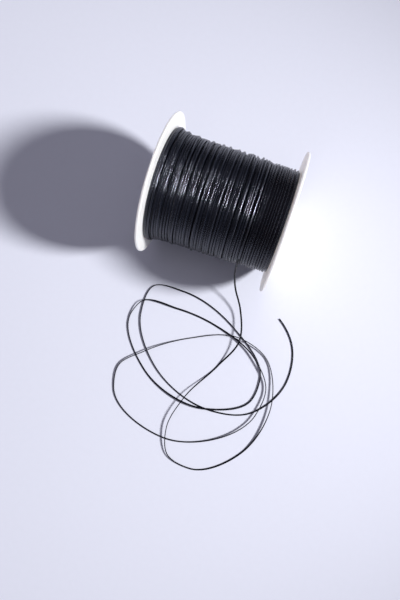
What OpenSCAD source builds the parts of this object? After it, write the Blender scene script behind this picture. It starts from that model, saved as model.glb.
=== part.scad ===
// A reel of waxed cord lying on its flange rims, with its free end pulled off into loops.
// The reel's axis runs along X. The origin is on the table, under the middle of the reel.

/* [Reel] */
// Distance between the inner faces of the two flanges
winding_w = 62; // [50:1:80]
// Diameter of each flange
flange_d = 70; // [64:1:90]
// Thickness of each flange, and of its fully rounded rim
flange_t = 1.5; // [1:0.1:2.5]

/* [Core tube] */
// Outer diameter of the paperboard tube that the cord is wound on
tube_d = 31; // [28:0.5:36]
// Wall of the paperboard tube
tube_wall = 1.5; // [1:0.1:2.5]

/* [Hub] */
// Diameter of the bore that turns on a spindle
bore_d = 12; // [6:0.5:14]
// Wall of the boss around the bore
boss_wall = 1.4; // [1:0.1:2]
// Wall of the sleeve that plugs into the tube
sleeve_wall = 1.2; // [0.8:0.1:2]
// How far the sleeve reaches into the tube
hub_depth = 12; // [8:0.5:18]
// Thickness of the floor that joins sleeve and boss at the hub's inner end
hub_floor = 1.2; // [0.8:0.1:2]
// Number of ribs between boss and sleeve
rib_count = 6; // [3:1:8]
// Thickness of each rib
rib_t = 1; // [0.8:0.1:1.6]
// How far the ribs stop below the flange's outer face
rib_drop = 1.5; // [0.5:0.1:3]
// Length of the lead-in taper on the sleeve's inner end
sleeve_taper = 1; // [0.5:0.1:2]
// Radial play between the sleeve and the tube
plug_play = 0.1; // [0.05:0.01:0.2]

/* [Tape] */
// Width of the tape strip that holds the cord's first end, along the tube
tape_w = 12; // [8:1:20]
// Thickness of the tape
tape_t = 0.2; // [0.1:0.05:0.3]
// Part of the way round the tube that the tape covers, in degrees
tape_arc = 80; // [40:5:150]

/* [Cord] */
// Diameter of the cord
cord_d = 1; // [0.9:0.05:1.2]
// Height of the winding's outermost turns over the tube, away from the flanges
winding_h = 10.7; // [8:0.1:13]
// How much higher the turns pile up against the left flange
left_pile = 2.5; // [0:0.1:3]
// How far from the left flange the pile fades to a third of its height
left_pile_w = 5; // [3:0.5:8]
// How much lower the turns lie at the right flange
right_dip = 0.7; // [0:0.1:2]
// Turns of the outer layer from the left flange to the right one
layer_turns = 21; // [15:1:22]
// Last turns, which come back over the layer from the right flange to where the end leaves
back_turns = 2; // [1:1:2]
// Where the free end leaves the winding, along the axis from the reel's middle
exit_x = 16.5; // [10:0.5:20]

/* [Hidden] */
$fn = 96;

// Height of the reel's axis over the table, and the radii that fit inside each other
axis_h = flange_d / 2;
tube_r = tube_d / 2;
sleeve_r = tube_r - tube_wall - plug_play;
boss_r = bore_d / 2 + boss_wall;
half_w = winding_w / 2;
// Play between the end faces of tube and winding and the flanges
end_play = 0.1;
// Play between the outer layer and the turns under it
seat_play = 0.05;
// How far a cut or a joined piece runs past the face it meets
past = 1;
// Smallest gap between turns that cross
cross_gap = 0.45;

// Rings of the tube in one turn, and corners of its section
turn_rings = 24;
turn_sides = 6;
tail_sides = 8;
// Rings of the tail in each stretch between two of its points
tail_steps = 2;
// Straight lines between rings pass inside the round turn by this share of its radius
sag_share = 1 - cos(180 / turn_rings);
// The half turn at the right flange in which the cord climbs on the layer
climb = 0.5;
// Distance between the flange and the middle of the cord beside it
edge_gap = 1.1 * cord_d;
// The slot through which the outer layer's first end comes up from the turns below, and its bend
slot_w = 1.3 * cord_d;
bend_r = 2 * cord_d;
slot_h = bend_r + 2 * cord_d;
bend_steps = 4;
// Steps along the axis in which the winding's outline is drawn
outline_steps = 31;

// The free end's route over the table, from the reel to the cut end. It falls from the winding,
// lies on the table and on its own loops, and is half a cord's thickness high where it lies flat.
tail_points = [
    [17, -29.5, 23], [20, -35, 10], [25.5, -43, 4.5], [30.5, -60, 3.9], [24, -75.5, 0.6],
    [12, -98, 2.9], [8.5, -115.5, 2.2], [13.5, -128.5, 1], [27, -131.5, 0.5], [50.5, -114.5, 0.5],
    [57, -83.5, 1.8], [47, -63.5, 0.8], [29.5, -58, 2.5], [5, -66.5, 0.6], [-16.5, -81.5, 2],
    [-27, -93, 0.8], [-25.5, -104.5, 0.5], [10.5, -121, 0.5], [51, -94, 1.8], [52, -79, 1.4],
    [41.5, -66, 1.8], [15.5, -55.5, 0.5], [-6.5, -53.5, 0.8], [-27, -56.5, 1.8], [-30, -63.5, 0.8],
    [-13, -90.5, 0.5], [24.5, -99.5, 1.8], [46.5, -87.5, 0.6], [47.5, -74.5, 0.5], [25.5, -53.5, 0.5],
    [-6, -43.5, 0.5], [-23.5, -46, 0.5], [-25, -62, 0.5], [-8, -87, 0.5], [25, -99.5, 0.5],
    [47.5, -94.5, 0.5], [61, -74.5, 0.5], [58, -52, 0.5], [47.5, -41, 0.5]
];

// Radius of the outermost turns at a place along the axis
function winding_r(x) =
    tube_r + winding_h
    + left_pile * exp(-(x + half_w) / left_pile_w)
    - right_dip * pow(max(0, x) / half_w, 2);

// Radius of the turns under the outer layer, which clears the cord where the winding slopes
function inner_r(x) = winding_r(x + cord_d / 2) - cord_d - seat_play;

// Radius of the middle of the outer layer's cord, clear of the turns below between its rings
function layer_r(x) = winding_r(x) * (1 + sag_share) - cord_d / 2;

// Radial lift of the last turns over the layer
lift = (cord_d + cross_gap) / cos(180 / turn_rings);

function unit(v) = v / norm(v);

// 0 to 1 with level ends
function ease(t) = let (u = min(1, max(0, t))) u * u * (3 - 2 * u);

// A point on the winding: a place along the axis, a radius, and an angle up from the front
function on_reel(x, r, angle) = [x, -r * cos(angle), axis_h + r * sin(angle)];

// Turns are counted from the slot at the left flange to the front, where the free end leaves
all_turns = layer_turns + climb + back_turns;
first_x = -half_w + edge_gap;
last_x = half_w - edge_gap;

function turn_x(t) =
    t < layer_turns
        ? first_x + (last_x - first_x) * t / layer_turns
        : last_x + (exit_x - last_x) * ease((t - layer_turns - climb) / back_turns);

function turn_r(t) = layer_r(turn_x(t)) + lift * ease((t - layer_turns) / climb);

function turn_angle(t) = 360 * (all_turns - t);

// The outer layer's first end: straight up from the slot's floor, then round to lie along the turn
slot_angle = turn_angle(0);
slot_r = layer_r(first_x) - bend_r - cord_d;
bend_turn = asin(bend_r / layer_r(first_x));
slot_floor = on_reel(first_x, slot_r, slot_angle);
out_dir = unit(slot_floor - [first_x, 0, axis_h]);
along_dir = [0, sin(slot_angle), cos(slot_angle)] * -1;
bend_points = [for (i = [0 : bend_steps])
    let (a = 90 * i / bend_steps)
    slot_floor + out_dir * (cord_d + bend_r * sin(a)) + along_dir * bend_r * (1 - cos(a))];

first_ring = ceil(turn_rings * bend_turn / 360);
turn_points = [for (i = [first_ring : turn_rings * all_turns])
    let (t = i / turn_rings)
    on_reel(turn_x(t), turn_r(t), turn_angle(t))];

// The free end goes straight down from the front of the reel, where the tail joins on
exit_point = turn_points[len(turn_points) - 1] - [0, 0, cord_d];
layer_line = concat([slot_floor], bend_points, turn_points, [exit_point]);

// The direction of a smooth line at one of its points, weighted towards the nearer neighbour
function slope(p, i) =
    i == 0 ? [0, 0, -1]
    : i == len(p) - 1 ? unit(2 * unit(p[i] - p[i - 1]) - slope(p, i - 1))
    : let (a = p[i] - p[i - 1], b = p[i + 1] - p[i])
        (unit(a) * norm(b) + unit(b) * norm(a)) / (norm(a) + norm(b));

function between(a, b, slope_a, slope_b, t) =
    let (d = norm(b - a))
    a * (1 + t * t * (2 * t - 3)) + b * t * t * (3 - 2 * t)
    + slope_a * d * t * (1 - t) * (1 - t) - slope_b * d * t * t * (1 - t);

// A smooth line through the points, kept off the table by half the cord
function smooth_line(p, steps) = concat(
    [for (i = [0 : len(p) - 2], k = [0 : steps - 1])
        let (q = between(p[i], p[i + 1], slope(p, i), slope(p, i + 1), k / steps))
        [q.x, q.y, max(q.z, cord_d / 2)]],
    [p[len(p) - 1]]);

tail_line = concat(
    [exit_point],
    smooth_line(concat([exit_point - [0, 0, cord_d]], tail_points), tail_steps));

// The directions of a line at its points, and sideways directions that don't twist along it
function headings(p) = [for (i = [0 : len(p) - 1])
    unit(p[min(i + 1, len(p) - 1)] - p[max(i - 1, 0)])];

function sideways(heads, start) = [
    for (i = 0, side = start; i < len(heads);
        i = i + 1, side = i < len(heads) ? unit(side - heads[i] * (side * heads[i])) : side)
    unit(side - heads[i] * (side * heads[i]))];

// A tube of the cord's diameter along a line, flat-sided, with end faces square to it
module sweep(line, sides, start_side) {
    heads = headings(line);
    side = sideways(heads, start_side);
    rings = len(line);
    points = [for (i = [0 : rings - 1], k = [0 : sides - 1])
        let (a = 360 * k / sides)
        line[i] + cord_d / 2 * (cos(a) * side[i] + sin(a) * cross(heads[i], side[i]))];
    walls = [for (i = [0 : rings - 2], k = [0 : sides - 1])
        let (a = i * sides + k, b = i * sides + (k + 1) % sides)
        each [[a, a + sides, b], [b, a + sides, b + sides]]];
    ends = [for (k = [1 : sides - 2])
        each [[0, k, k + 1], [(rings - 1) * sides, (rings - 1) * sides + k + 1, (rings - 1) * sides + k]]];
    polyhedron(points = points, faces = concat(walls, ends), convexity = 20);
}

// The smallest gap between stretches of a wound line that are more than a quarter turn apart
function least_gap(p) =
    let (quarter = turn_rings / 4)
    min([for (i = [0 : len(p) - 1 - quarter])
        let (middle = (p[i] + p[i + 1]) / 2)
        min([for (k = [i + quarter : len(p) - 1])
            min(norm(p[k] - p[i]), norm((p[k] + p[k - 1]) / 2 - middle))])]) - cord_d;

echo(winding_gap_mm = least_gap(layer_line));

// Turns a shape that was drawn up the Z axis so that it lies along the reel's axis
module on_axis(x = 0) {
    translate([x, 0, axis_h])
        rotate([0, 90, 0])
            children();
}

// A flange with its hub, drawn with its inner face at zero, its outer face up and its sleeve down
module flange() {
    rotate_extrude() {
        translate([sleeve_r - sleeve_wall, 0])
            square([flange_d / 2 - flange_t / 2 - sleeve_r + sleeve_wall, flange_t]);
        translate([flange_d / 2 - flange_t / 2, flange_t / 2])
            circle(d = flange_t, $fn = 32);
        polygon([
            [sleeve_r - sleeve_wall, flange_t],
            [sleeve_r - sleeve_wall, hub_floor - hub_depth],
            [boss_r, hub_floor - hub_depth],
            [boss_r, flange_t],
            [bore_d / 2, flange_t],
            [bore_d / 2, -hub_depth],
            [sleeve_r - sleeve_taper / 3, -hub_depth],
            [sleeve_r, sleeve_taper - hub_depth],
            [sleeve_r, flange_t]
        ]);
    }
    for (i = [0 : rib_count - 1])
        rotate([0, 0, 360 * i / rib_count])
            translate([boss_r - boss_wall / 2, -rib_t / 2, hub_floor / 2 - hub_depth])
                cube([sleeve_r - boss_r + (boss_wall - sleeve_wall) / 2, rib_t,
                    hub_depth - hub_floor / 2 + flange_t - rib_drop]);
}

module left_flange() {
    color("whitesmoke")
        on_axis(-half_w)
            mirror([0, 0, 1])
                flange();
}

module right_flange() {
    color("whitesmoke")
        on_axis(half_w)
            flange();
}

module core_tube() {
    color("burlywood")
        on_axis(end_play - half_w)
            difference() {
                cylinder(r = tube_r, h = winding_w - 2 * end_play);
                translate([0, 0, -past])
                    cylinder(r = tube_r - tube_wall, h = winding_w + 2 * past);
            }
}

// A strip bent round the tube near the left flange
module start_tape() {
    color("khaki")
        on_axis(edge_gap - half_w)
            rotate([0, 0, 180 - tape_arc / 2])
                rotate_extrude(angle = tape_arc)
                    translate([tube_r, 0])
                        square([tape_t, tape_w]);
}

// The turns under the outer layer, packed solid, with room for the tape and for the cord's way up
module thread_inner_layers() {
    outline = [for (i = [0 : outline_steps])
        let (x = (winding_w - 2 * end_play) * (i / outline_steps - 0.5))
        [inner_r(x), x]];
    color("#1c1d22")
        difference() {
            on_axis()
                rotate_extrude()
                    polygon(concat(
                        [[tube_r, end_play - half_w]],
                        outline,
                        [[tube_r, half_w - end_play]]));
            start_tape();
            translate([first_x, 0, axis_h])
                rotate([-slot_angle, 0, 0])
                    translate([-slot_w / 2, -slot_r - slot_h, -slot_w / 2 - bend_r])
                        cube([slot_w, slot_h, slot_w + bend_r]);
        }
}

module thread_outer_layer() {
    color("#24262c")
        sweep(layer_line, turn_sides, [1, 0, 0]);
}

module thread_tail() {
    color("#24262c")
        sweep(tail_line, tail_sides, [1, 0, 0]);
}

core_tube();
left_flange();
right_flange();
start_tape();
thread_inner_layers();
thread_outer_layer();
thread_tail();
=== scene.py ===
"""A reel of black waxed sewing cord, with its free end pulled off and lying in loops on the table.

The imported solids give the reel's sizes. This file adds the winding's turns, the braided free end,
the finishes, and a plain table with studio light.
"""

import math

import bmesh
import bpy
import numpy as np
from bpy.props import FloatProperty, FloatVectorProperty, IntProperty, PointerProperty
from mathutils import Matrix, Vector


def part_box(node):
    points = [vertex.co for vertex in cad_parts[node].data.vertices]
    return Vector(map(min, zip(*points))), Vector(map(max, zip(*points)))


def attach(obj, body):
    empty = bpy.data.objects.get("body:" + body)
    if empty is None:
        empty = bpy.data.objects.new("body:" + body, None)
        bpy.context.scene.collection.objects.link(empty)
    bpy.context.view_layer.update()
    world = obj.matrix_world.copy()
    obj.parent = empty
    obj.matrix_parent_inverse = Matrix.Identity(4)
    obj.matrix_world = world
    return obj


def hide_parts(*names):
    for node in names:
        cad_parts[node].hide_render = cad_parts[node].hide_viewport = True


bl_info = {
    "name": "Reel of waxed cord",
    "version": (1, 0, 0),
    "blender": (4, 5, 0),
    "location": "3D View > Sidebar > Reel",
    "description": "Winds a flanged reel with braided waxed cord and lays its free end in loops",
    "category": "Add Mesh",
}

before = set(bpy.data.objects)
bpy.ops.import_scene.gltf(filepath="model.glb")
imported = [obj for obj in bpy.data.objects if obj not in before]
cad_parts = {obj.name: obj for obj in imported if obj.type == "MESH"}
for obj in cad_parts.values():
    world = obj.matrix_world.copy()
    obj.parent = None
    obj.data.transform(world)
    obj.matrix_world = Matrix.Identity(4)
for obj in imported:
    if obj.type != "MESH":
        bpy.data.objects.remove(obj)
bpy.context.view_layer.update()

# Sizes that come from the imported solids, in metres
MM = 0.001
TUBE_LOW, TUBE_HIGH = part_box("core_tube")
AXIS_HEIGHT = (TUBE_LOW.z + TUBE_HIGH.z) / 2
TUBE_RADIUS = (TUBE_HIGH.z - TUBE_LOW.z) / 2
# The winding fills the reel from flange to flange, and the tube ends this far short of each.
# The half width is in whole micrometres.
END_PLAY = 0.1 * MM
HALF_WIDTH = round(TUBE_HIGH.x + END_PLAY, 6)

# The free end's route in metres, from the reel to the cut end: the same points as in the solids,
# of which the first two are the short straight run that goes down from the winding
ROUTE = [
    (0.0165, -0.0271868, 0.034), (0.0165, -0.0271868, 0.033), (0.017, -0.0295, 0.023),
    (0.020, -0.035, 0.010), (0.0255, -0.043, 0.0045),
    (0.0305, -0.060, 0.0039), (0.024, -0.0755, 0.0006), (0.012, -0.098, 0.0029),
    (0.0085, -0.1155, 0.0022), (0.0135, -0.1285, 0.001), (0.027, -0.1315, 0.0005),
    (0.0505, -0.1145, 0.0005), (0.057, -0.0835, 0.0018), (0.047, -0.0635, 0.0008),
    (0.0295, -0.058, 0.0025), (0.005, -0.0665, 0.0006), (-0.0165, -0.0815, 0.002),
    (-0.027, -0.093, 0.0008), (-0.0255, -0.1045, 0.0005), (0.0105, -0.121, 0.0005),
    (0.051, -0.094, 0.0018), (0.052, -0.079, 0.0014), (0.0415, -0.066, 0.0018),
    (0.0155, -0.0555, 0.0005), (-0.0065, -0.0535, 0.0008), (-0.027, -0.0565, 0.0018),
    (-0.030, -0.0635, 0.0008), (-0.013, -0.0905, 0.0005), (0.0245, -0.0995, 0.0018),
    (0.0465, -0.0875, 0.0006), (0.0475, -0.0745, 0.0005), (0.0255, -0.0535, 0.0005),
    (-0.006, -0.0435, 0.0005), (-0.0235, -0.046, 0.0005), (-0.025, -0.062, 0.0005),
    (-0.008, -0.087, 0.0005), (0.025, -0.0995, 0.0005), (0.0475, -0.0945, 0.0005),
    (0.061, -0.0745, 0.0005), (0.058, -0.052, 0.0005), (0.0475, -0.041, 0.0005),
]
# How far the cord's flat side is turned up from the table at each of these points, in degrees,
# in the same rows
LIE = [
    0, 0, 0,
    0, 0,
    0, 20, 70,
    90, 60, 30,
    10, 90, 90,
    80, 90, 90,
    90, 60, 30,
    70, 80, 50,
    20, 0, 60,
    80, 30, 10,
    20, 70, 80,
    30, 80, 90,
    80, 20, 40,
    10, 0, 40,
]

# Braid: strands that run each way round the cord, and the depth of the grooves between the
# free end's stitches, in diameters
STRANDS_EACH_WAY = 3
GROOVE = 0.09
# Corners of the cord's section on the reel and in the free end
WOUND_SIDES = 12
FREE_SIDES = 16
# Distance between the free end's rings, and the rings on either side over which it rolls over
FREE_STEP = 0.3 * MM
FREE_ROLL_REACH = 20

# Rings of the wound cord in one turn. Rings on either side over which it bends up or down,
# and over which it bends sideways or rolls over.
RINGS = 96
BEND_REACH = 4
ROLL_REACH = 8
# Rings in which the cord comes up from the layer below, and in which it narrows as it leaves
RISE_RINGS = RINGS // 6
LEAVE_RINGS = RINGS // 12
# Distance at which turns rest on each other, in widths of the wound cord
SETTLE = 0.95
# Radial step from one layer to the next, the most that a turn stands proud of its layer, and
# how uneven the turns lie, in thicknesses of the wound cord
LAYER_STEP = 0.8
RIDE = 0.8
UNEVEN = 0.18
# Least part of a turn in which the cord moves over to its next place. Where its step is shorter
# or longer than these, in pitches, it crosses other turns and does so in a smaller part.
CROSSING = 0.45
SHORT_STEP = 0.5
LONG_STEP = 1.3
STEEP_CROSSING = 0.3
# Rings after which the cord strays anew
STRAY_RINGS = 16
# Share of its full lean that a turn has midway between its neighbours, what a pitch of extra
# room adds to that, and the least and most that it leans
EVEN_LEAN = 0.9
ROOM_LEAN = 0.7
LEAST_LEAN = 0.2
MOST_LEAN = 1.2
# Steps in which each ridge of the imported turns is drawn, and how far its sides fall, in
# thicknesses of the wound cord
RIDGE_STEPS = 6
RIDGE_FALL = 0.35

# Camera: its place, how far it leans from straight down, and how it is turned and rolled.
# Width of its sensor and focal length of its lens, in millimetres.
CAMERA_AT = (0.01851, -0.07524, 0.28383)
CAMERA_LEAN = math.radians(6.799)
CAMERA_TURN = math.radians(26.775)
CAMERA_ROLL = math.radians(-7.971)
SENSOR = 36.0
LENS = 31.3

# Half the table's width. Places of the lamp at the right, of the spot on the table that it is
# aimed at, and of the broad light overhead.
TABLE_HALF = 1.5
LAMP_AT = (0.4658, 0.056, 0.3897)
LAMP_AIM = (-0.16, -0.085, 0.0)
CEILING_AT = (0.0, 0.2, 1.3)


def linear(colour):
    """Linear light of an sRGB colour given as a hex string."""
    shares = [int(colour[i:i + 2], 16) / 255 for i in (1, 3, 5)]
    return [c / 12.92 if c <= 0.04045 else ((c + 0.055) / 1.055) ** 2.4 for c in shares]


def toned(colour, share):
    """A colour made darker or lighter, with its alpha, as a socket takes it."""
    return (*[min(1.0, c * share) for c in colour], 1.0)


class CordSettings(bpy.types.PropertyGroup):
    diameter: FloatProperty(
        name="Diameter", description="Thickness of the cord",
        default=1.0 * MM, min=0.6 * MM, max=1.5 * MM, precision=5, unit="LENGTH")
    flat: FloatProperty(
        name="Free thickness", description="Thickness of the free end, as a share of its width",
        default=0.55, min=0.4, max=1)
    spread: FloatProperty(
        name="Wound width", description="Width of the wound cord, as a share of its diameter",
        default=1.08, min=1, max=1.4)
    pressed: FloatProperty(
        name="Wound thickness", description="Thickness of the wound cord, as a share of its width",
        default=0.5, min=0.4, max=1)
    roundness: FloatProperty(
        name="Roundness", description="1 for an oval section, and less for a flatter top",
        default=0.67, min=0.4, max=1)
    stitch: FloatProperty(
        name="Stitch", description="Length of one stitch of the braid, along the cord",
        default=1.35 * MM, min=0.8 * MM, max=3 * MM, precision=5, unit="LENGTH")
    colour: FloatVectorProperty(
        name="Colour", description="Dyed polyester under the wax",
        default=linear("#0D1018"), size=3, min=0, max=1, subtype="COLOR")


class WindingSettings(bpy.types.PropertyGroup):
    height: FloatProperty(
        name="Height", description="Height of the winding over the tube, away from the flanges",
        default=10.7 * MM, min=6 * MM, max=13 * MM, precision=5, unit="LENGTH")
    pile: FloatProperty(
        name="Left pile", description="How much higher the turns lie against the left flange",
        default=2.5 * MM, min=0, max=3 * MM, precision=5, unit="LENGTH")
    pile_width: FloatProperty(
        name="Pile width", description="How far from the flange the pile fades to a third",
        default=5 * MM, min=2 * MM, max=10 * MM, precision=5, unit="LENGTH")
    dip: FloatProperty(
        name="Right dip", description="How much lower the turns lie at the right flange",
        default=0.7 * MM, min=0, max=2 * MM, precision=5, unit="LENGTH")
    pitch: FloatProperty(
        name="Pitch", description="Usual distance between neighbouring turns",
        default=1.28 * MM, min=1.1 * MM, max=1.6 * MM, precision=5, unit="LENGTH")
    end: FloatProperty(
        name="End", description="Where the outer layer stops and the free end leaves it",
        default=16.5 * MM, min=5 * MM, max=25 * MM, precision=5, unit="LENGTH")
    leave: FloatProperty(
        name="Leaving angle", description="How far above the reel's front the free end leaves",
        default=math.radians(15), min=0, max=math.radians(40), subtype="ANGLE")
    wander: FloatProperty(
        name="Wander", description="How far a turn strays sideways from an even helix",
        default=0.11 * MM, min=0, max=0.3 * MM, precision=5, unit="LENGTH")
    lean: FloatProperty(
        name="Lean", description="How far a turn is rolled over when it leans on another",
        default=math.radians(30), min=0, max=math.radians(45), subtype="ANGLE")
    uneven_lean: FloatProperty(
        name="Uneven lean", description="How much the lean changes along the cord",
        default=math.radians(7), min=0, max=math.radians(45), subtype="ANGLE")
    seed: IntProperty(
        name="Seed", description="Changes where turns are squeezed up or leave gaps",
        default=7, min=0)


class FlangeSettings(bpy.types.PropertyGroup):
    colour: FloatVectorProperty(
        name="Colour", description="White of the moulded flanges",
        default=linear("#EEEBE9"), size=3, min=0, max=1, subtype="COLOR")


class CoreSettings(bpy.types.PropertyGroup):
    board: FloatVectorProperty(
        name="Board", description="Grey-brown of the paperboard tube",
        default=linear("#9E8566"), size=3, min=0, max=1, subtype="COLOR")
    tape: FloatVectorProperty(
        name="Tape", description="Straw colour of the masking tape",
        default=linear("#D4BF8F"), size=3, min=0, max=1, subtype="COLOR")


class StageSettings(bpy.types.PropertyGroup):
    paper: FloatVectorProperty(
        name="Table", description="Colour of the paper on the table",
        default=linear("#D9DBE8"), size=3, min=0, max=1, subtype="COLOR")
    key: FloatProperty(
        name="Key light", description="Power of the lamp at the right",
        default=59.5, min=0)
    key_colour: FloatVectorProperty(
        name="Key colour", description="White of the lamp at the right",
        default=linear("#FFFFFF"), size=3, min=0, max=1, subtype="COLOR")
    key_size: FloatProperty(
        name="Key size", description="Radius of the lamp at the right",
        default=50 * MM, min=1 * MM, precision=4, unit="LENGTH")
    key_cone: FloatProperty(
        name="Key cone", description="Angle over which the lamp's beam fades out",
        default=math.radians(76.7), min=0.5, max=3.0, subtype="ANGLE")
    room: FloatProperty(
        name="Room light", description="Strength of the soft light from all round",
        default=0.13, min=0)
    room_colour: FloatVectorProperty(
        name="Room colour", description="Colour of the soft light from overhead and all round",
        default=linear("#F1EEFF"), size=3, min=0, max=1, subtype="COLOR")
    ceiling: FloatProperty(
        name="Ceiling light", description="Power of the broad light overhead",
        default=4.0, min=0)
    ceiling_size: FloatProperty(
        name="Ceiling size", description="Width of the broad light overhead",
        default=2200 * MM, min=100 * MM, precision=3, unit="LENGTH")


def add_node(tree, kind, inputs=None, **settings):
    """Adds a node, sets its options, and fills its inputs with values or links."""
    node = tree.nodes.new(kind)
    for name, value in settings.items():
        setattr(node, name, value)
    for socket, value in (inputs or {}).items():
        if isinstance(value, bpy.types.NodeSocket):
            tree.links.new(value, node.inputs[socket])
        else:
            node.inputs[socket].default_value = value
    return node


def braid_nodes(tree, place):
    """Height of the braid, 0 to 1, at a place given as turns round and stitches along.

    It works in a material and in Geometry Nodes. The strands that run one way round lie on
    top in every other cell of a diamond lattice, and those that run the other way in the rest.
    """
    pair = [
        add_node(
            tree, "ShaderNodeVectorMath", {0: place, 1: (strands, 1, 0)},
            operation="DOT_PRODUCT").outputs["Value"]
        for strands in (STRANDS_EACH_WAY, -STRANDS_EACH_WAY)]
    lattice = add_node(tree, "ShaderNodeCombineXYZ", {0: pair[0], 1: pair[1]})
    cell = add_node(tree, "ShaderNodeVectorMath", {0: lattice.outputs[0]}, operation="FLOOR")
    half_count = add_node(
        tree, "ShaderNodeVectorMath", {0: cell.outputs[0], 1: (0.5, 0.5, 0)},
        operation="DOT_PRODUCT")
    # Half of an even count ends in 0 and half of an odd one in 0.5, and 0.25 parts the two
    odd = add_node(
        tree, "ShaderNodeMath", {0: half_count.outputs["Value"]}, operation="FRACT")
    on_top = add_node(
        tree, "ShaderNodeMath", {0: odd.outputs[0], 1: 0.25}, operation="GREATER_THAN")
    inside = add_node(
        tree, "ShaderNodeVectorMath", {0: lattice.outputs[0]}, operation="FRACTION")
    centred = add_node(
        tree, "ShaderNodeVectorMath",
        {0: inside.outputs[0], 1: (2, 2, 2), 2: (-1, -1, -1)}, operation="MULTIPLY_ADD")
    squares = add_node(
        tree, "ShaderNodeVectorMath", {0: centred.outputs[0], 1: centred.outputs[0]},
        operation="MULTIPLY")
    fourths = add_node(
        tree, "ShaderNodeVectorMath", {0: squares.outputs[0], 1: squares.outputs[0]},
        operation="MULTIPLY")
    # Round across a strand, and nearly level along it
    rounded = add_node(
        tree, "ShaderNodeVectorMath", {0: (1, 1, 1), 1: squares.outputs[0]},
        operation="SUBTRACT")
    level = add_node(
        tree, "ShaderNodeVectorMath", {0: (1, 1, 1), 1: fourths.outputs[0]},
        operation="SUBTRACT")
    across = add_node(tree, "ShaderNodeSeparateXYZ", {0: rounded.outputs[0]}).outputs
    along = add_node(tree, "ShaderNodeSeparateXYZ", {0: level.outputs[0]}).outputs
    one_way = add_node(
        tree, "ShaderNodeMath", {0: across[0], 1: along[1]}, operation="MULTIPLY")
    other_way = add_node(
        tree, "ShaderNodeMath", {0: across[1], 1: along[0]}, operation="MULTIPLY")
    return add_node(
        tree, "ShaderNodeMix",
        {"Factor": on_top.outputs[0], "A": one_way.outputs[0], "B": other_way.outputs[0]},
        data_type="FLOAT").outputs["Result"]


def new_material(name):
    """A material with only its Principled shader and output."""
    material = bpy.data.materials.new(name)
    material.use_nodes = True
    tree = material.node_tree
    tree.nodes.clear()
    shader = add_node(tree, "ShaderNodeBsdfPrincipled")
    add_node(tree, "ShaderNodeOutputMaterial", {"Surface": shader.outputs["BSDF"]})
    return material, tree, shader


def waxed_cord(cord, handled=False):
    """Braided polyester, dyed black and waxed: stitches that glint one by one in low light.

    Where the cord has been handled, less wax is left on it, so it shines less and looks deeper.
    """
    name = "polyester_braided_black_" + ("handled" if handled else "waxed")
    if name in bpy.data.materials:
        return bpy.data.materials[name]
    # Share of the dye's lightness, the crowns' shine, and the index of what is on the fibres
    dye, most_shine, index = (0.5, 0.4, 1.4) if handled else (1.0, 1.0, 1.56)
    material, tree, shader = new_material(name)
    # The map runs once round the cord, and in metres along it
    uv = add_node(tree, "ShaderNodeUVMap", uv_map="UVMap")
    stitches = add_node(
        tree, "ShaderNodeMapping", {"Vector": uv.outputs[0], "Scale": (1, 1 / cord.stitch, 1)})
    height = braid_nodes(tree, stitches.outputs[0])
    # Wax lies thicker here and there, in stretches of about 8 mm, where it fills the braid
    stretches = add_node(
        tree, "ShaderNodeMapping", {"Vector": uv.outputs[0], "Scale": (0.6, 1 / (8 * MM), 1)})
    wax = add_node(
        tree, "ShaderNodeTexNoise", {"Vector": stretches.outputs[0], "Scale": 1.0, "Detail": 2.0})
    gloss = add_node(
        tree, "ShaderNodeMapRange",
        {"Value": wax.outputs[0], "From Min": 0.35, "From Max": 0.65,
            "To Min": 0.25, "To Max": 0.12})
    bare = add_node(
        tree, "ShaderNodeMapRange",
        {"Value": wax.outputs[0], "From Min": 0.35, "From Max": 0.65,
            "To Min": 1.0, "To Max": 0.65})
    # Painted shade: the grooves between the stitches are coloured darker than the crowns. They also
    # hardly shine.
    painted_groove_shade = add_node(
        tree, "ShaderNodeMix",
        {"Factor": height, "A": toned(cord.colour, 0.45 * dye),
            "B": toned(cord.colour, 1.25 * dye)},
        data_type="RGBA")
    shine = add_node(
        tree, "ShaderNodeMapRange",
        {"Value": height, "From Min": 0.2, "From Max": 0.7,
            "To Min": 0.05, "To Max": most_shine})
    bump = add_node(
        tree, "ShaderNodeBump",
        {"Height": height, "Strength": bare.outputs[0], "Distance": 0.095 * cord.diameter})
    tree.links.new(painted_groove_shade.outputs["Result"], shader.inputs["Base Color"])
    tree.links.new(gloss.outputs[0], shader.inputs["Roughness"])
    tree.links.new(bump.outputs[0], shader.inputs["Normal"])
    tree.links.new(shine.outputs[0], shader.inputs["Specular IOR Level"])
    shader.inputs["IOR"].default_value = index
    shader.inputs["Specular Tint"].default_value = (*linear("#E6EAFF"), 1.0)
    return material


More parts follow.
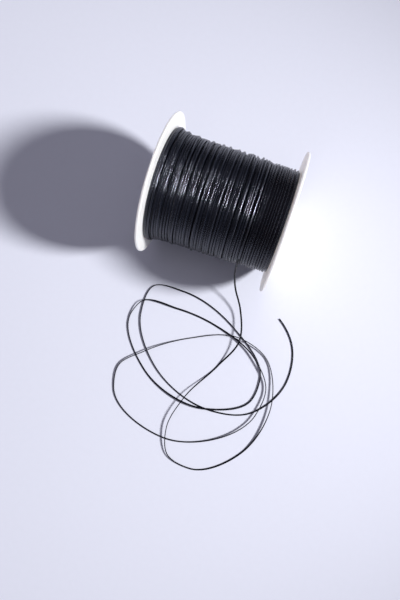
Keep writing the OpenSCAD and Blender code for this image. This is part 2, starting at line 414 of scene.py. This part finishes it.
def moulded_polystyrene(flange):
    """Injection-moulded white polystyrene: satin, slightly translucent, a little uneven."""
    material, tree, shader = new_material("polystyrene_white_moulded")
    place = add_node(tree, "ShaderNodeTexCoord").outputs["Object"]
    # The mould's fine texture of about 0.3 mm, over soft unevenness of about 12 mm
    fine = add_node(
        tree, "ShaderNodeTexNoise", {"Vector": place, "Scale": 3.3 / MM, "Detail": 2.0})
    broad = add_node(
        tree, "ShaderNodeTexNoise", {"Vector": place, "Scale": 0.08 / MM, "Detail": 2.0})
    fine_bump = add_node(
        tree, "ShaderNodeBump",
        {"Height": fine.outputs[0], "Strength": 0.25, "Distance": 0.02 * MM})
    bump = add_node(
        tree, "ShaderNodeBump",
        {"Height": broad.outputs[0], "Strength": 0.3, "Distance": 0.15 * MM,
            "Normal": fine_bump.outputs[0]})
    gloss = add_node(
        tree, "ShaderNodeMapRange",
        {"Value": broad.outputs[0], "From Min": 0.3, "From Max": 0.7,
            "To Min": 0.34, "To Max": 0.44})
    tint = add_node(
        tree, "ShaderNodeMix",
        {"Factor": broad.outputs[0], "A": toned(flange.colour, 0.97),
            "B": toned(flange.colour, 1.0)},
        data_type="RGBA")
    tree.links.new(tint.outputs["Result"], shader.inputs["Base Color"])
    tree.links.new(gloss.outputs[0], shader.inputs["Roughness"])
    tree.links.new(bump.outputs[0], shader.inputs["Normal"])
    shader.inputs["IOR"].default_value = 1.59
    shader.inputs["Subsurface Weight"].default_value = 1.0
    shader.inputs["Subsurface Radius"].default_value = (1.0, 0.92, 0.88)
    shader.inputs["Subsurface Scale"].default_value = 4.0 * MM
    return material


def spiral_paperboard(core):
    """Spiral-wound grey-brown paperboard: matt, with fibres and the edge of its top ply."""
    material, tree, shader = new_material("paperboard_spiral_wound")
    place = add_node(tree, "ShaderNodeTexCoord").outputs["Object"]
    centred = add_node(
        tree, "ShaderNodeMapping", {"Vector": place, "Location": (0, 0, -AXIS_HEIGHT)})
    parts = add_node(tree, "ShaderNodeSeparateXYZ", {0: centred.outputs[0]})
    turn = add_node(
        tree, "ShaderNodeMath", {0: parts.outputs[2], 1: parts.outputs[1]},
        operation="ARCTAN2")
    # The top ply is a strip 25 mm wide, so its edge moves on by 25 mm in each turn
    strips = add_node(
        tree, "ShaderNodeMath", {0: parts.outputs[0], 1: 1 / (25 * MM)},
        operation="MULTIPLY")
    edge = add_node(
        tree, "ShaderNodeMath", {0: turn.outputs[0], 1: 1 / math.tau, 2: strips.outputs[0]},
        operation="MULTIPLY_ADD")
    inside = add_node(tree, "ShaderNodeMath", {0: edge.outputs[0]}, operation="FRACT")
    seam = add_node(
        tree, "ShaderNodeMath", {0: inside.outputs[0], 1: 0.03}, operation="LESS_THAN")
    # Fibres, three in 2 mm
    fibres = add_node(
        tree, "ShaderNodeTexNoise",
        {"Vector": centred.outputs[0], "Scale": 1.5 / MM, "Detail": 4.0, "Distortion": 0.6})
    height = add_node(
        tree, "ShaderNodeMath", {0: seam.outputs[0], 1: -1.0, 2: fibres.outputs[0]},
        operation="MULTIPLY_ADD")
    bump = add_node(
        tree, "ShaderNodeBump",
        {"Height": height.outputs[0], "Strength": 0.6, "Distance": 0.08 * MM})
    tint = add_node(
        tree, "ShaderNodeMix",
        {"Factor": fibres.outputs[0], "A": toned(core.board, 0.7),
            "B": toned(core.board, 1.2)},
        data_type="RGBA")
    tree.links.new(tint.outputs["Result"], shader.inputs["Base Color"])
    tree.links.new(bump.outputs[0], shader.inputs["Normal"])
    shader.inputs["Roughness"].default_value = 0.85
    return material


def crepe_tape(core):
    """Crepe masking tape: straw-coloured paper, matt, with fine cross wrinkles."""
    material, tree, shader = new_material("masking_tape_crepe_paper")
    place = add_node(tree, "ShaderNodeTexCoord").outputs["Object"]
    # Wrinkles of about 0.5 mm, drawn out along the tube and so across the tape's length
    drawn_out = add_node(
        tree, "ShaderNodeMapping", {"Vector": place, "Scale": (0.3 / MM, 2 / MM, 2 / MM)})
    wrinkles = add_node(
        tree, "ShaderNodeTexNoise",
        {"Vector": drawn_out.outputs[0], "Scale": 1.0, "Detail": 2.0})
    bump = add_node(
        tree, "ShaderNodeBump",
        {"Height": wrinkles.outputs[0], "Strength": 0.7, "Distance": 0.05 * MM})
    # Painted shade: the tape is coloured darker in the hollows of its wrinkles
    tint = add_node(
        tree, "ShaderNodeMix",
        {"Factor": wrinkles.outputs[0], "A": toned(core.tape, 0.8),
            "B": toned(core.tape, 1.0)},
        data_type="RGBA")
    tree.links.new(tint.outputs["Result"], shader.inputs["Base Color"])
    tree.links.new(bump.outputs[0], shader.inputs["Normal"])
    shader.inputs["Roughness"].default_value = 0.7
    return material


def backdrop_paper(stage):
    """Matt backdrop paper: pale and cool, with hardly any sheen."""
    material, tree, shader = new_material("backdrop_paper_matt")
    place = add_node(tree, "ShaderNodeTexCoord").outputs["Object"]
    # Unevenness of the pulp, about 3 mm
    pulp = add_node(
        tree, "ShaderNodeTexNoise", {"Vector": place, "Scale": 0.33 / MM, "Detail": 4.0})
    tint = add_node(
        tree, "ShaderNodeMix",
        {"Factor": pulp.outputs[0], "A": toned(stage.paper, 0.985),
            "B": toned(stage.paper, 1.015)},
        data_type="RGBA")
    tree.links.new(tint.outputs["Result"], shader.inputs["Base Color"])
    shader.inputs["Roughness"].default_value = 0.8
    shader.inputs["Specular IOR Level"].default_value = 0.25
    return material


def link_object(name, data):
    """A new object at the origin, in the scene."""
    made = bpy.data.objects.new(name, data)
    bpy.context.scene.collection.objects.link(made)
    return made


def skin(name, rows, ring=False):
    """A smooth mesh over rows of points; in a ring, each row is joined up and ends meet."""
    shape = bmesh.new()
    rows = [[shape.verts.new(point) for point in row] for row in rows]
    across = len(rows[0]) if ring else len(rows[0]) - 1
    for low, high in zip(rows, rows[1:]):
        for i in range(across):
            j = (i + 1) % len(low)
            shape.faces.new((low[i], low[j], high[j], high[i])).smooth = True
    if ring:
        bmesh.ops.remove_doubles(shape, verts=shape.verts, dist=1e-7)
        bmesh.ops.recalc_face_normals(shape, faces=shape.faces)
    mesh = bpy.data.meshes.new(name)
    shape.to_mesh(mesh)
    shape.free()
    return mesh


def unit(v):
    """The direction of each vector."""
    return v / np.linalg.norm(v, axis=-1, keepdims=True)


def smooth_line(points, first_direction, step):
    """A smooth line through points, with a sample about every step.

    Its direction at a point leans towards the nearer of the point's two neighbours.
    """
    p = np.array(points, float)
    spans = np.diff(p, axis=0)
    lengths = np.linalg.norm(spans, axis=1, keepdims=True)
    heads = spans / lengths
    slopes = np.empty_like(p)
    slopes[0] = first_direction
    slopes[1:-1] = (heads[:-1] * lengths[1:] + heads[1:] * lengths[:-1]) / (
        lengths[:-1] + lengths[1:])
    slopes[-1] = unit(2 * heads[-1] - slopes[-2])
    line = []
    for i in range(len(spans)):
        length = lengths[i, 0]
        t = np.linspace(0, 1, max(2, round(length / step) + 1))[:-1, None]
        line.append(
            p[i] * (1 + t * t * (2 * t - 3)) + p[i + 1] * t * t * (3 - 2 * t)
            + slopes[i] * length * t * (1 - t) ** 2
            - slopes[i + 1] * length * t * t * (1 - t))
    return np.concatenate(line + [p[-1:]])


def ease(t):
    """0 to 1 with level ends."""
    t = np.clip(t, 0, 1)
    return t * t * (3 - 2 * t)


def soften(values, reach):
    """A running average, which is how a stiff cord lies over small steps."""
    weights = np.hanning(2 * reach + 3)[1:-1]
    padded = np.pad(values, reach, mode="edge")
    return np.convolve(padded, weights / weights.sum(), "valid")


def winding_top(x, winding):
    """Radius of the outside of the winding at a place along the axis."""
    past_middle = np.maximum(0, x) / HALF_WIDTH
    return (
        TUBE_RADIUS + winding.height
        + winding.pile * np.exp(-(x + HALF_WIDTH) / winding.pile_width)
        - winding.dip * past_middle ** 2)


def under_radius(x, winding, thick):
    """Radius of the middle of the cord in the layer under the outer one.

    Past the place where the outer layer stops, this layer rises over 5 mm to be the top one.
    """
    shown = ease((x - winding.end) / (5 * MM))
    return winding_top(x, winding) - thick / 2 - LAYER_STEP * thick * (1 - shown)


def outer_advances(winding, length, rng):
    """How far the cord moves on in each turn of the outer layer.

    The turns mostly lie in threes with a gap after them, and some in twos or fours. In some of
    the threes a turn is squeezed up by its neighbours, and now and then one climbs back on to
    them. The steps are in pitches, until they are stretched to fill the length.
    """
    advances = []
    while sum(advances) * winding.pitch < length:
        chance = rng.random()
        gap = rng.uniform(1.2, 1.6)
        beside = rng.uniform(0.82, 1.0, 3).tolist()
        if chance < 0.06 and len(advances) > 3:
            back = 0.35
            advances += [-back, 1.02 + back]
        elif chance < 0.3:
            squeezed = rng.uniform(0.66, 0.78)
            advances += [beside[0], squeezed, gap]
        elif chance < 0.4:
            advances += [beside[0], gap]
        elif chance < 0.85:
            advances += [*beside[:2], gap]
        else:
            advances += [*beside, gap]
    advances = np.array(advances)
    return advances * length / advances.sum()


def traverse(start, advances, winding, edge, rng):
    """Places along the axis, RINGS to a turn, from how far the cord moves on in each turn."""
    x = start + np.concatenate([[0], np.cumsum(advances)])
    t = np.arange(RINGS) / RINGS
    places = []
    for turn, advance in enumerate(advances):
        width = rng.uniform(CROSSING, 1.0)
        middle = rng.uniform(width / 2, 1 - width / 2)
        if not SHORT_STEP * winding.pitch <= abs(advance) <= LONG_STEP * winding.pitch:
            width = STEEP_CROSSING
            middle = rng.uniform(width, 1 - width)
        places.append(x[turn] + advance * ease((t - middle) / width + 0.5))
    places = np.concatenate(places)
    knots = np.arange(0, len(places) + STRAY_RINGS, STRAY_RINGS)
    strays = np.interp(
        np.arange(len(places)), knots, rng.normal(0, winding.wander, len(knots)))
    return np.clip(places + soften(strays, ROLL_REACH), -edge, edge)


def on_reel(x, r, angle):
    """Points from places along the axis, radii, and angles up from the reel's front."""
    return np.stack(
        np.broadcast_arrays(x, -r * np.cos(angle), AXIS_HEIGHT + r * np.sin(angle)), axis=-1)


def lay_turns(winding, cord):
    """The two laid layers: the middle of the cord, how far it is rolled over, its widths as
    shares of the wound width, and the ring at which the outer layer starts.

    Each turn comes to rest on the ones laid before it, at every angle round the reel.
    """
    rng = np.random.default_rng(winding.seed)
    wide = cord.spread * cord.diameter
    thick = cord.pressed * wide
    edge = HALF_WIDTH - wide / 2
    under_turns = round(2 * edge / winding.pitch)
    under_steps = rng.uniform(0.88, 1.12, under_turns)
    under_steps *= -2 * edge / under_steps.sum()
    under_x = traverse(edge, under_steps, winding, edge, rng)
    outer_steps = outer_advances(winding, edge + winding.end, rng)
    outer_x = traverse(-edge, outer_steps, winding, edge, rng)
    outer_x[-RINGS:] += np.linspace(0, 1, RINGS) * (winding.end - outer_x[-1])
    x = np.concatenate([under_x, outer_x]).reshape(-1, RINGS)
    r = under_radius(x, winding, thick) + rng.normal(0, UNEVEN * thick, len(x))[:, None]
    most = winding_top(x, winding) + (RIDE - 0.5) * thick
    for turn in range(under_turns, len(x)):
        reach = (SETTLE * wide) ** 2 - (x[turn] - x[:turn]) ** 2
        rise = cord.pressed * np.sqrt(np.maximum(reach, 0))
        seats = np.where(reach > 0, r[:turn] + rise, 0)
        r[turn] = np.maximum(r[turn], np.minimum(seats.max(axis=0), most[turn]))
    x, r = x.reshape(-1), soften(r.reshape(-1), BEND_REACH)
    # The cord comes up from the layer below at the right flange
    first = np.arange(RISE_RINGS)
    r[first] -= thick * (1 - ease(first / RISE_RINGS))
    angle = winding.leave + math.tau * np.arange(len(x) - 1, -1, -1) / RINGS
    # A turn leans on the one laid before it, and more where it has room in front of it
    steps = np.arange(len(x))
    apart = np.abs(np.diff(x.reshape(-1, RINGS), axis=0)) / winding.pitch
    room = (np.vstack([apart, apart[-1:]]) - np.vstack([apart[:1], apart])).reshape(-1)
    knots = np.arange(0, len(x) + RINGS, RINGS // 2)
    wobble = np.interp(steps, knots, rng.normal(0, winding.uneven_lean, len(knots)))
    share = np.clip(EVEN_LEAN + ROOM_LEAN * room, LEAST_LEAN, MOST_LEAN)
    leans = winding.lean * share + wobble
    leans[len(under_x):] *= -1
    # It leaves the winding lying flat, and is narrower there
    leaving = ease((len(x) - 1 - steps) / LEAVE_RINGS)
    widths = 1 / cord.spread + (1 - 1 / cord.spread) * leaving
    return on_reel(x, r, angle), soften(leans, ROLL_REACH) * leaving, widths, len(under_x)


def cord_tree():
    """Geometry Nodes that sweep a cord along a curve, press its braid in, and map it."""
    tree = bpy.data.node_groups.new("cord_along_curve", "GeometryNodeTree")
    for name, kind in (
            ("Curve", "Geometry"), ("Diameter", "Float"), ("Sides", "Int"),
            ("Flatness", "Float"), ("Roundness", "Float"), ("Flat along", "Vector"),
            ("Groove depth", "Float"), ("Stitch", "Float"), ("Start", "Float"),
            ("Finish", "Material")):
        tree.interface.new_socket(name, in_out="INPUT", socket_type="NodeSocket" + kind)
    tree.interface.new_socket("Mesh", in_out="OUTPUT", socket_type="NodeSocketGeometry")
    given = add_node(tree, "NodeGroupInput").outputs
    spot = add_node(tree, "GeometryNodeSplineParameter").outputs

    # The section's wide side lies along the given direction, and without one level
    has_direction = add_node(
        tree, "ShaderNodeVectorMath", {0: given["Flat along"]}, operation="LENGTH")
    turned = add_node(
        tree, "GeometryNodeSetCurveNormal",
        {"Curve": given["Curve"], "Selection": has_direction.outputs["Value"],
            "Normal": given["Flat along"]}, mode="FREE")
    line = add_node(
        tree, "GeometryNodeCaptureAttribute", {"Geometry": turned.outputs[0]}, domain="POINT")
    line.capture_items.new("FLOAT", "Along")
    tree.links.new(spot["Length"], line.inputs["Along"])
    circle = add_node(
        tree, "GeometryNodeCurvePrimitiveCircle",
        {"Resolution": given["Sides"], "Radius": 1.0}, mode="RADIUS")
    section = add_node(
        tree, "GeometryNodeCaptureAttribute", {"Geometry": circle.outputs["Curve"]},
        domain="POINT")
    section.capture_items.new("FLOAT", "Round")
    tree.links.new(spot["Factor"], section.inputs["Round"])
    # A cord pressed on to the reel has a flatter top and tighter edges than an ellipse
    corner = add_node(tree, "GeometryNodeInputPosition").outputs[0]
    powers = add_node(
        tree, "ShaderNodeCombineXYZ", {0: given["Roundness"], 1: given["Roundness"], 2: 1.0})
    out = add_node(tree, "ShaderNodeVectorMath", {0: corner}, operation="ABSOLUTE")
    squarer = add_node(
        tree, "ShaderNodeVectorMath", {0: out.outputs[0], 1: powers.outputs[0]},
        operation="POWER")
    side = add_node(tree, "ShaderNodeVectorMath", {0: corner}, operation="SIGN")
    turned_back = add_node(
        tree, "ShaderNodeVectorMath", {0: squarer.outputs[0], 1: side.outputs[0]},
        operation="MULTIPLY")
    radius = add_node(
        tree, "ShaderNodeMath", {0: given["Diameter"], 1: 0.5}, operation="MULTIPLY")
    half_height = add_node(
        tree, "ShaderNodeMath", {0: radius.outputs[0], 1: given["Flatness"]},
        operation="MULTIPLY")
    half_size = add_node(
        tree, "ShaderNodeCombineXYZ", {0: radius.outputs[0], 1: half_height.outputs[0]})
    sized = add_node(
        tree, "ShaderNodeVectorMath", {0: turned_back.outputs[0], 1: half_size.outputs[0]},
        operation="MULTIPLY")
    flattened = add_node(
        tree, "GeometryNodeSetPosition",
        {"Geometry": section.outputs["Geometry"], "Position": sized.outputs[0]})
    widths = add_node(tree, "GeometryNodeInputRadius")
    tube = add_node(
        tree, "GeometryNodeCurveToMesh",
        {"Curve": line.outputs["Geometry"], "Profile Curve": flattened.outputs[0],
            "Scale": widths.outputs[0], "Fill Caps": True})
    along = add_node(
        tree, "ShaderNodeMath", {0: line.outputs["Along"], 1: given["Start"]},
        operation="ADD")

    stitches = add_node(
        tree, "ShaderNodeMath", {0: along.outputs[0], 1: given["Stitch"]},
        operation="DIVIDE")
    place = add_node(
        tree, "ShaderNodeCombineXYZ", {0: section.outputs["Round"], 1: stitches.outputs[0]})
    sunk = add_node(
        tree, "ShaderNodeMath", {0: braid_nodes(tree, place.outputs[0]), 1: 1.0},
        operation="SUBTRACT")
    depth = add_node(
        tree, "ShaderNodeMath", {0: sunk.outputs[0], 1: given["Groove depth"]},
        operation="MULTIPLY")
    normal = add_node(tree, "GeometryNodeInputNormal")
    move = add_node(
        tree, "ShaderNodeVectorMath",
        {0: normal.outputs["Normal"], "Scale": depth.outputs[0]}, operation="SCALE")
    pressed = add_node(
        tree, "GeometryNodeSetPosition",
        {"Geometry": tube.outputs[0], "Offset": move.outputs[0]})

    # Where the section closes, its first corner counts as a whole turn and not as none: there
    # it lies far below the face's mean, and elsewhere by less than a side of the section
    mean = add_node(
        tree, "GeometryNodeFieldOnDomain", {"Value": section.outputs["Round"]},
        data_type="FLOAT", domain="FACE")
    below = add_node(
        tree, "ShaderNodeMath", {0: mean.outputs[0], 1: section.outputs["Round"]},
        operation="SUBTRACT")
    closing = add_node(
        tree, "ShaderNodeMath", {0: below.outputs[0], 1: 0.25}, operation="GREATER_THAN")
    whole = add_node(
        tree, "ShaderNodeMath", {0: section.outputs["Round"], 1: closing.outputs[0]},
        operation="ADD")
    # The map runs once round the cord, and in metres along it
    uv = add_node(tree, "ShaderNodeCombineXYZ", {0: whole.outputs[0], 1: along.outputs[0]})
    mapped = add_node(
        tree, "GeometryNodeStoreNamedAttribute",
        {"Geometry": pressed.outputs[0], "Name": "UVMap", "Value": uv.outputs[0]},
        data_type="FLOAT2", domain="CORNER")
    smooth = add_node(tree, "GeometryNodeSetShadeSmooth", {"Geometry": mapped.outputs[0]})
    real = add_node(tree, "GeometryNodeRealizeInstances", {0: smooth.outputs[0]})
    done = add_node(
        tree, "GeometryNodeSetMaterial",
        {"Geometry": real.outputs[0], "Material": given["Finish"]})
    add_node(tree, "NodeGroupOutput", {"Mesh": done.outputs[0]})
    return tree


def swept_cord(name, line, cord, sides, finish, flat, roundness=1.0, widths=1.0,
               along=(0, 0, 0), tilts=0.0, start=0.0, groove=0.0):
    """A plain mesh of the cord along a line, made by the Geometry Nodes tree.

    Its widths are in diameters and its tilts in radians. Its wide side lies along a direction,
    or level where none is given. Stitches are counted from the start.
    """
    curve = bpy.data.curves.new(name + "_line", "CURVE")
    curve.dimensions = "3D"
    curve.twist_mode = "Z_UP"
    spline = curve.splines.new("POLY")
    spline.points.add(len(line) - 1)
    spline.points.foreach_set("co", np.c_[line, np.ones(len(line))].reshape(-1))
    spline.points.foreach_set("tilt", tilts + np.zeros(len(line)))
    spline.points.foreach_set("radius", widths + np.zeros(len(line)))
    carrier = link_object(name + "_line", curve)
    modifier = carrier.modifiers.new("cord", "NODES")
    modifier.node_group = bpy.data.node_groups.get("cord_along_curve") or cord_tree()
    values = {
        "Diameter": cord.diameter, "Sides": sides, "Flatness": flat, "Roundness": roundness,
        "Flat along": along, "Groove depth": groove, "Stitch": cord.stitch, "Start": start,
        "Finish": finish}
    for item in modifier.node_group.interface.items_tree:
        if item.in_out == "INPUT" and item.name in values:
            modifier[item.identifier] = values[item.name]
    bpy.context.view_layer.update()
    graph = bpy.context.evaluated_depsgraph_get()
    mesh = bpy.data.meshes.new_from_object(carrier.evaluated_get(graph), depsgraph=graph)
    if len(mesh.polygons) == 0:
        raise RuntimeError(name + ": the swept cord came out empty")
    mesh.name = name
    bpy.data.objects.remove(carrier)
    return link_object(name, mesh)


def packed_turns(winding, cord):
    """The turns below the two laid layers, as one ridged ring round the tube."""
    thick = cord.pressed * cord.spread * cord.diameter
    ridges = round(2 * HALF_WIDTH / winding.pitch)
    x = np.linspace(-HALF_WIDTH, HALF_WIDTH, ridges * RIDGE_STEPS + 1)
    from_crown = 2 * (np.arange(len(x)) % RIDGE_STEPS) / RIDGE_STEPS - 1
    drop = RIDGE_FALL * thick * (1 - np.sqrt(1 - from_crown ** 2))
    r = under_radius(x, winding, thick) - SETTLE * thick / 2 - drop
    x = np.r_[x[0], x, x[-1], x[0]]
    r = np.r_[TUBE_RADIUS, r, TUBE_RADIUS, TUBE_RADIUS]
    angle = np.arange(RINGS) * math.tau / RINGS
    mesh = skin("packed_turns", on_reel(x[:, None], r[:, None], angle[None]), ring=True)
    # The braid is mapped as on the cord: half of it shows across a ridge, and it runs along
    corners = np.empty(len(mesh.loops), int)
    mesh.loops.foreach_get("vertex_index", corners)
    spots = np.empty(len(mesh.vertices) * 3)
    mesh.vertices.foreach_get("co", spots)
    spots = spots.reshape(-1, 3)[corners].reshape(-1, 4, 3)
    turn = np.arctan2(spots[..., 2] - AXIS_HEIGHT, -spots[..., 1])
    turn += math.tau * (turn.max(axis=1, keepdims=True) - turn > math.pi)
    uv = np.stack([spots[..., 0] / winding.pitch / 2, turn * TUBE_RADIUS], axis=-1)
    mesh.uv_layers.new(name="UVMap").data.foreach_set("uv", uv.reshape(-1))
    mesh.materials.append(waxed_cord(cord))
    return link_object("packed_turns", mesh)


class REEL_OT_stage(bpy.types.Operator):
    """Lays the table and sets the lights and the camera"""
    bl_idname = "reel.stage"
    bl_label = "Table, light and camera"

    def execute(self, context):
        stage = context.scene.reel_stage
        mesh = skin(
            "table_top",
            [[(x, y, 0) for x in (-TABLE_HALF, TABLE_HALF)] for y in (-TABLE_HALF, TABLE_HALF)])
        mesh.materials.append(backdrop_paper(stage))
        table = link_object("table_top", mesh)

        key = bpy.data.lights.new("key_light", "SPOT")
        key.shadow_soft_size = stage.key_size
        key.spot_size = stage.key_cone
        key.spot_blend = 1.0
        key.energy = stage.key
        key.color = stage.key_colour
        # As bright at any distance, as from a lamp much further off
        key.use_nodes = True
        key.node_tree.nodes.clear()
        even = add_node(key.node_tree, "ShaderNodeLightFalloff", {"Strength": 1.0})
        glow = add_node(
            key.node_tree, "ShaderNodeEmission", {"Strength": even.outputs["Constant"]})
        add_node(key.node_tree, "ShaderNodeOutputLight", {"Surface": glow.outputs[0]})
        lamp = link_object("key_light", key)
        lamp.location = LAMP_AT
        aim = Vector(LAMP_AIM) - lamp.location
        lamp.rotation_euler = aim.to_track_quat("-Z", "Y").to_euler()

        ceiling = bpy.data.lights.new("ceiling_light", "AREA")
        ceiling.shape = "DISK"
        ceiling.size = stage.ceiling_size
        ceiling.energy = stage.ceiling
        ceiling.color = stage.room_colour
        link_object("ceiling_light", ceiling).location = CEILING_AT

        world = bpy.data.worlds.new("room_light")
        world.use_nodes = True
        world.node_tree.nodes.clear()
        light = add_node(
            world.node_tree, "ShaderNodeBackground",
            {"Color": (*stage.room_colour, 1.0), "Strength": stage.room})
        add_node(
            world.node_tree, "ShaderNodeOutputWorld", {"Surface": light.outputs[0]})
        context.scene.world = world
        context.scene.view_settings.view_transform = "Standard"

        camera = bpy.data.cameras.new("camera")
        camera.sensor_width = SENSOR
        camera.lens = LENS
        camera.clip_start = 0.01
        eye = link_object("camera", camera)
        eye.matrix_world = (
            Matrix.Translation(CAMERA_AT)
            @ Matrix.Rotation(CAMERA_TURN, 4, "Z")
            @ Matrix.Rotation(CAMERA_LEAN, 4, "X")
            @ Matrix.Rotation(CAMERA_ROLL, 4, "Z"))
        context.scene.camera = eye
        return {"FINISHED"}


class REEL_OT_free_end(bpy.types.Operator):
    """Lays the cord's free end from the winding over the table, with its braid modelled"""
    bl_idname = "reel.free_end"
    bl_label = "Free end of the cord"

    def execute(self, context):
        cord = context.scene.reel_cord
        turns = lay_turns(context.scene.reel_winding, cord)[0]
        heading = unit(turns[-1] - turns[-2])
        knots = [turns[-1]] + ROUTE
        line = smooth_line(knots, heading, FREE_STEP)
        line[:, 2] = np.maximum(line[:, 2], cord.diameter / 2)
        # Between its points the flat side turns evenly, and the cord sinks as it lies flatter
        spots = [np.argmin(np.linalg.norm(line - knot, axis=1)) for knot in knots[1:]]
        lie = np.interp(np.arange(len(line)), spots, np.radians(LIE))
        lie = soften(lie, FREE_ROLL_REACH)
        rise = np.hypot(cord.flat * np.cos(lie), np.sin(lie))
        line[:, 2] -= cord.diameter / 2 * (1 - rise)
        piece = swept_cord(
            "free_end", line, cord, FREE_SIDES, waxed_cord(cord, handled=True), cord.flat,
            tilts=lie, groove=GROOVE * cord.diameter)
        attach(piece, "root")
        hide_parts("thread_tail")
        return {"FINISHED"}


class REEL_OT_winding(bpy.types.Operator):
    """Winds the outer layer and the layer under it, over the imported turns"""
    bl_idname = "reel.winding"
    bl_label = "Winding"

    def execute(self, context):
        cord = context.scene.reel_cord
        winding = context.scene.reel_winding
        turns, leans, widths, turning = lay_turns(winding, cord)
        steps = np.linalg.norm(np.diff(turns, axis=0), axis=1)
        outer = swept_cord(
            "outer_turns", turns[turning:], cord, WOUND_SIDES, waxed_cord(cord),
            cord.pressed, roundness=cord.roundness, widths=cord.spread * widths[turning:],
            along=(1, 0, 0), tilts=leans[turning:], start=-float(steps[turning:].sum()))
        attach(outer, "root")
        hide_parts("thread_outer_layer")

        inner = swept_cord(
            "inner_turns", turns[:turning + 1], cord, WOUND_SIDES, waxed_cord(cord),
            cord.pressed, roundness=cord.roundness, widths=cord.spread, along=(1, 0, 0),
            tilts=leans[:turning + 1], start=-float(steps.sum()))
        packed = packed_turns(winding, cord)
        with context.temp_override(
                active_object=inner, object=inner, selected_editable_objects=[inner, packed],
                selected_objects=[inner, packed]):
            bpy.ops.object.join()
        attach(inner, "root")
        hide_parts("thread_inner_layers")
        return {"FINISHED"}


class REEL_OT_flanges(bpy.types.Operator):
    """Finishes the two moulded flanges"""
    bl_idname = "reel.flanges"
    bl_label = "Flanges"

    def execute(self, context):
        material = moulded_polystyrene(context.scene.reel_flange)
        for name in ("left_flange", "right_flange"):
            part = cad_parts[name]
            part.data.materials.clear()
            part.data.materials.append(material)
        return {"FINISHED"}


class REEL_OT_core(bpy.types.Operator):
    """Finishes the paperboard tube and the tape that holds the cord's first end"""
    bl_idname = "reel.core"
    bl_label = "Core tube and tape"

    def execute(self, context):
        core = context.scene.reel_core
        for name, material in (
                ("core_tube", spiral_paperboard(core)), ("start_tape", crepe_tape(core))):
            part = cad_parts[name]
            part.data.materials.clear()
            part.data.materials.append(material)
        return {"FINISHED"}


class REEL_PT_panel(bpy.types.Panel):
    """Sizes, colours and steps of the reel"""
    bl_idname = "REEL_PT_panel"
    bl_label = "Reel of waxed cord"
    bl_space_type = "VIEW_3D"
    bl_region_type = "UI"
    bl_category = "Reel"

    def draw(self, context):
        for settings in SETTINGS:
            group = getattr(context.scene, settings)
            box = self.layout.box()
            for name in group.bl_rna.properties.keys():
                if name not in ("rna_type", "name"):
                    box.prop(group, name)
        for operator in OPERATORS:
            self.layout.operator(operator.bl_idname)


SETTINGS = {
    "reel_cord": CordSettings,
    "reel_winding": WindingSettings,
    "reel_flange": FlangeSettings,
    "reel_core": CoreSettings,
    "reel_stage": StageSettings,
}
OPERATORS = (
    REEL_OT_stage,
    REEL_OT_free_end,
    REEL_OT_winding,
    REEL_OT_flanges,
    REEL_OT_core,
)


def register():
    for name, group in SETTINGS.items():
        bpy.utils.register_class(group)
        setattr(bpy.types.Scene, name, PointerProperty(type=group))
    for operator in OPERATORS:
        bpy.utils.register_class(operator)
    bpy.utils.register_class(REEL_PT_panel)


def unregister():
    bpy.utils.unregister_class(REEL_PT_panel)
    for operator in reversed(OPERATORS):
        bpy.utils.unregister_class(operator)
    for name, group in SETTINGS.items():
        delattr(bpy.types.Scene, name)
        bpy.utils.unregister_class(group)


def main():
    register()
    bpy.ops.reel.stage()
    bpy.ops.reel.free_end()
    bpy.ops.reel.winding()
    bpy.ops.reel.flanges()
    bpy.ops.reel.core()


if __name__ == "__main__":
    main()
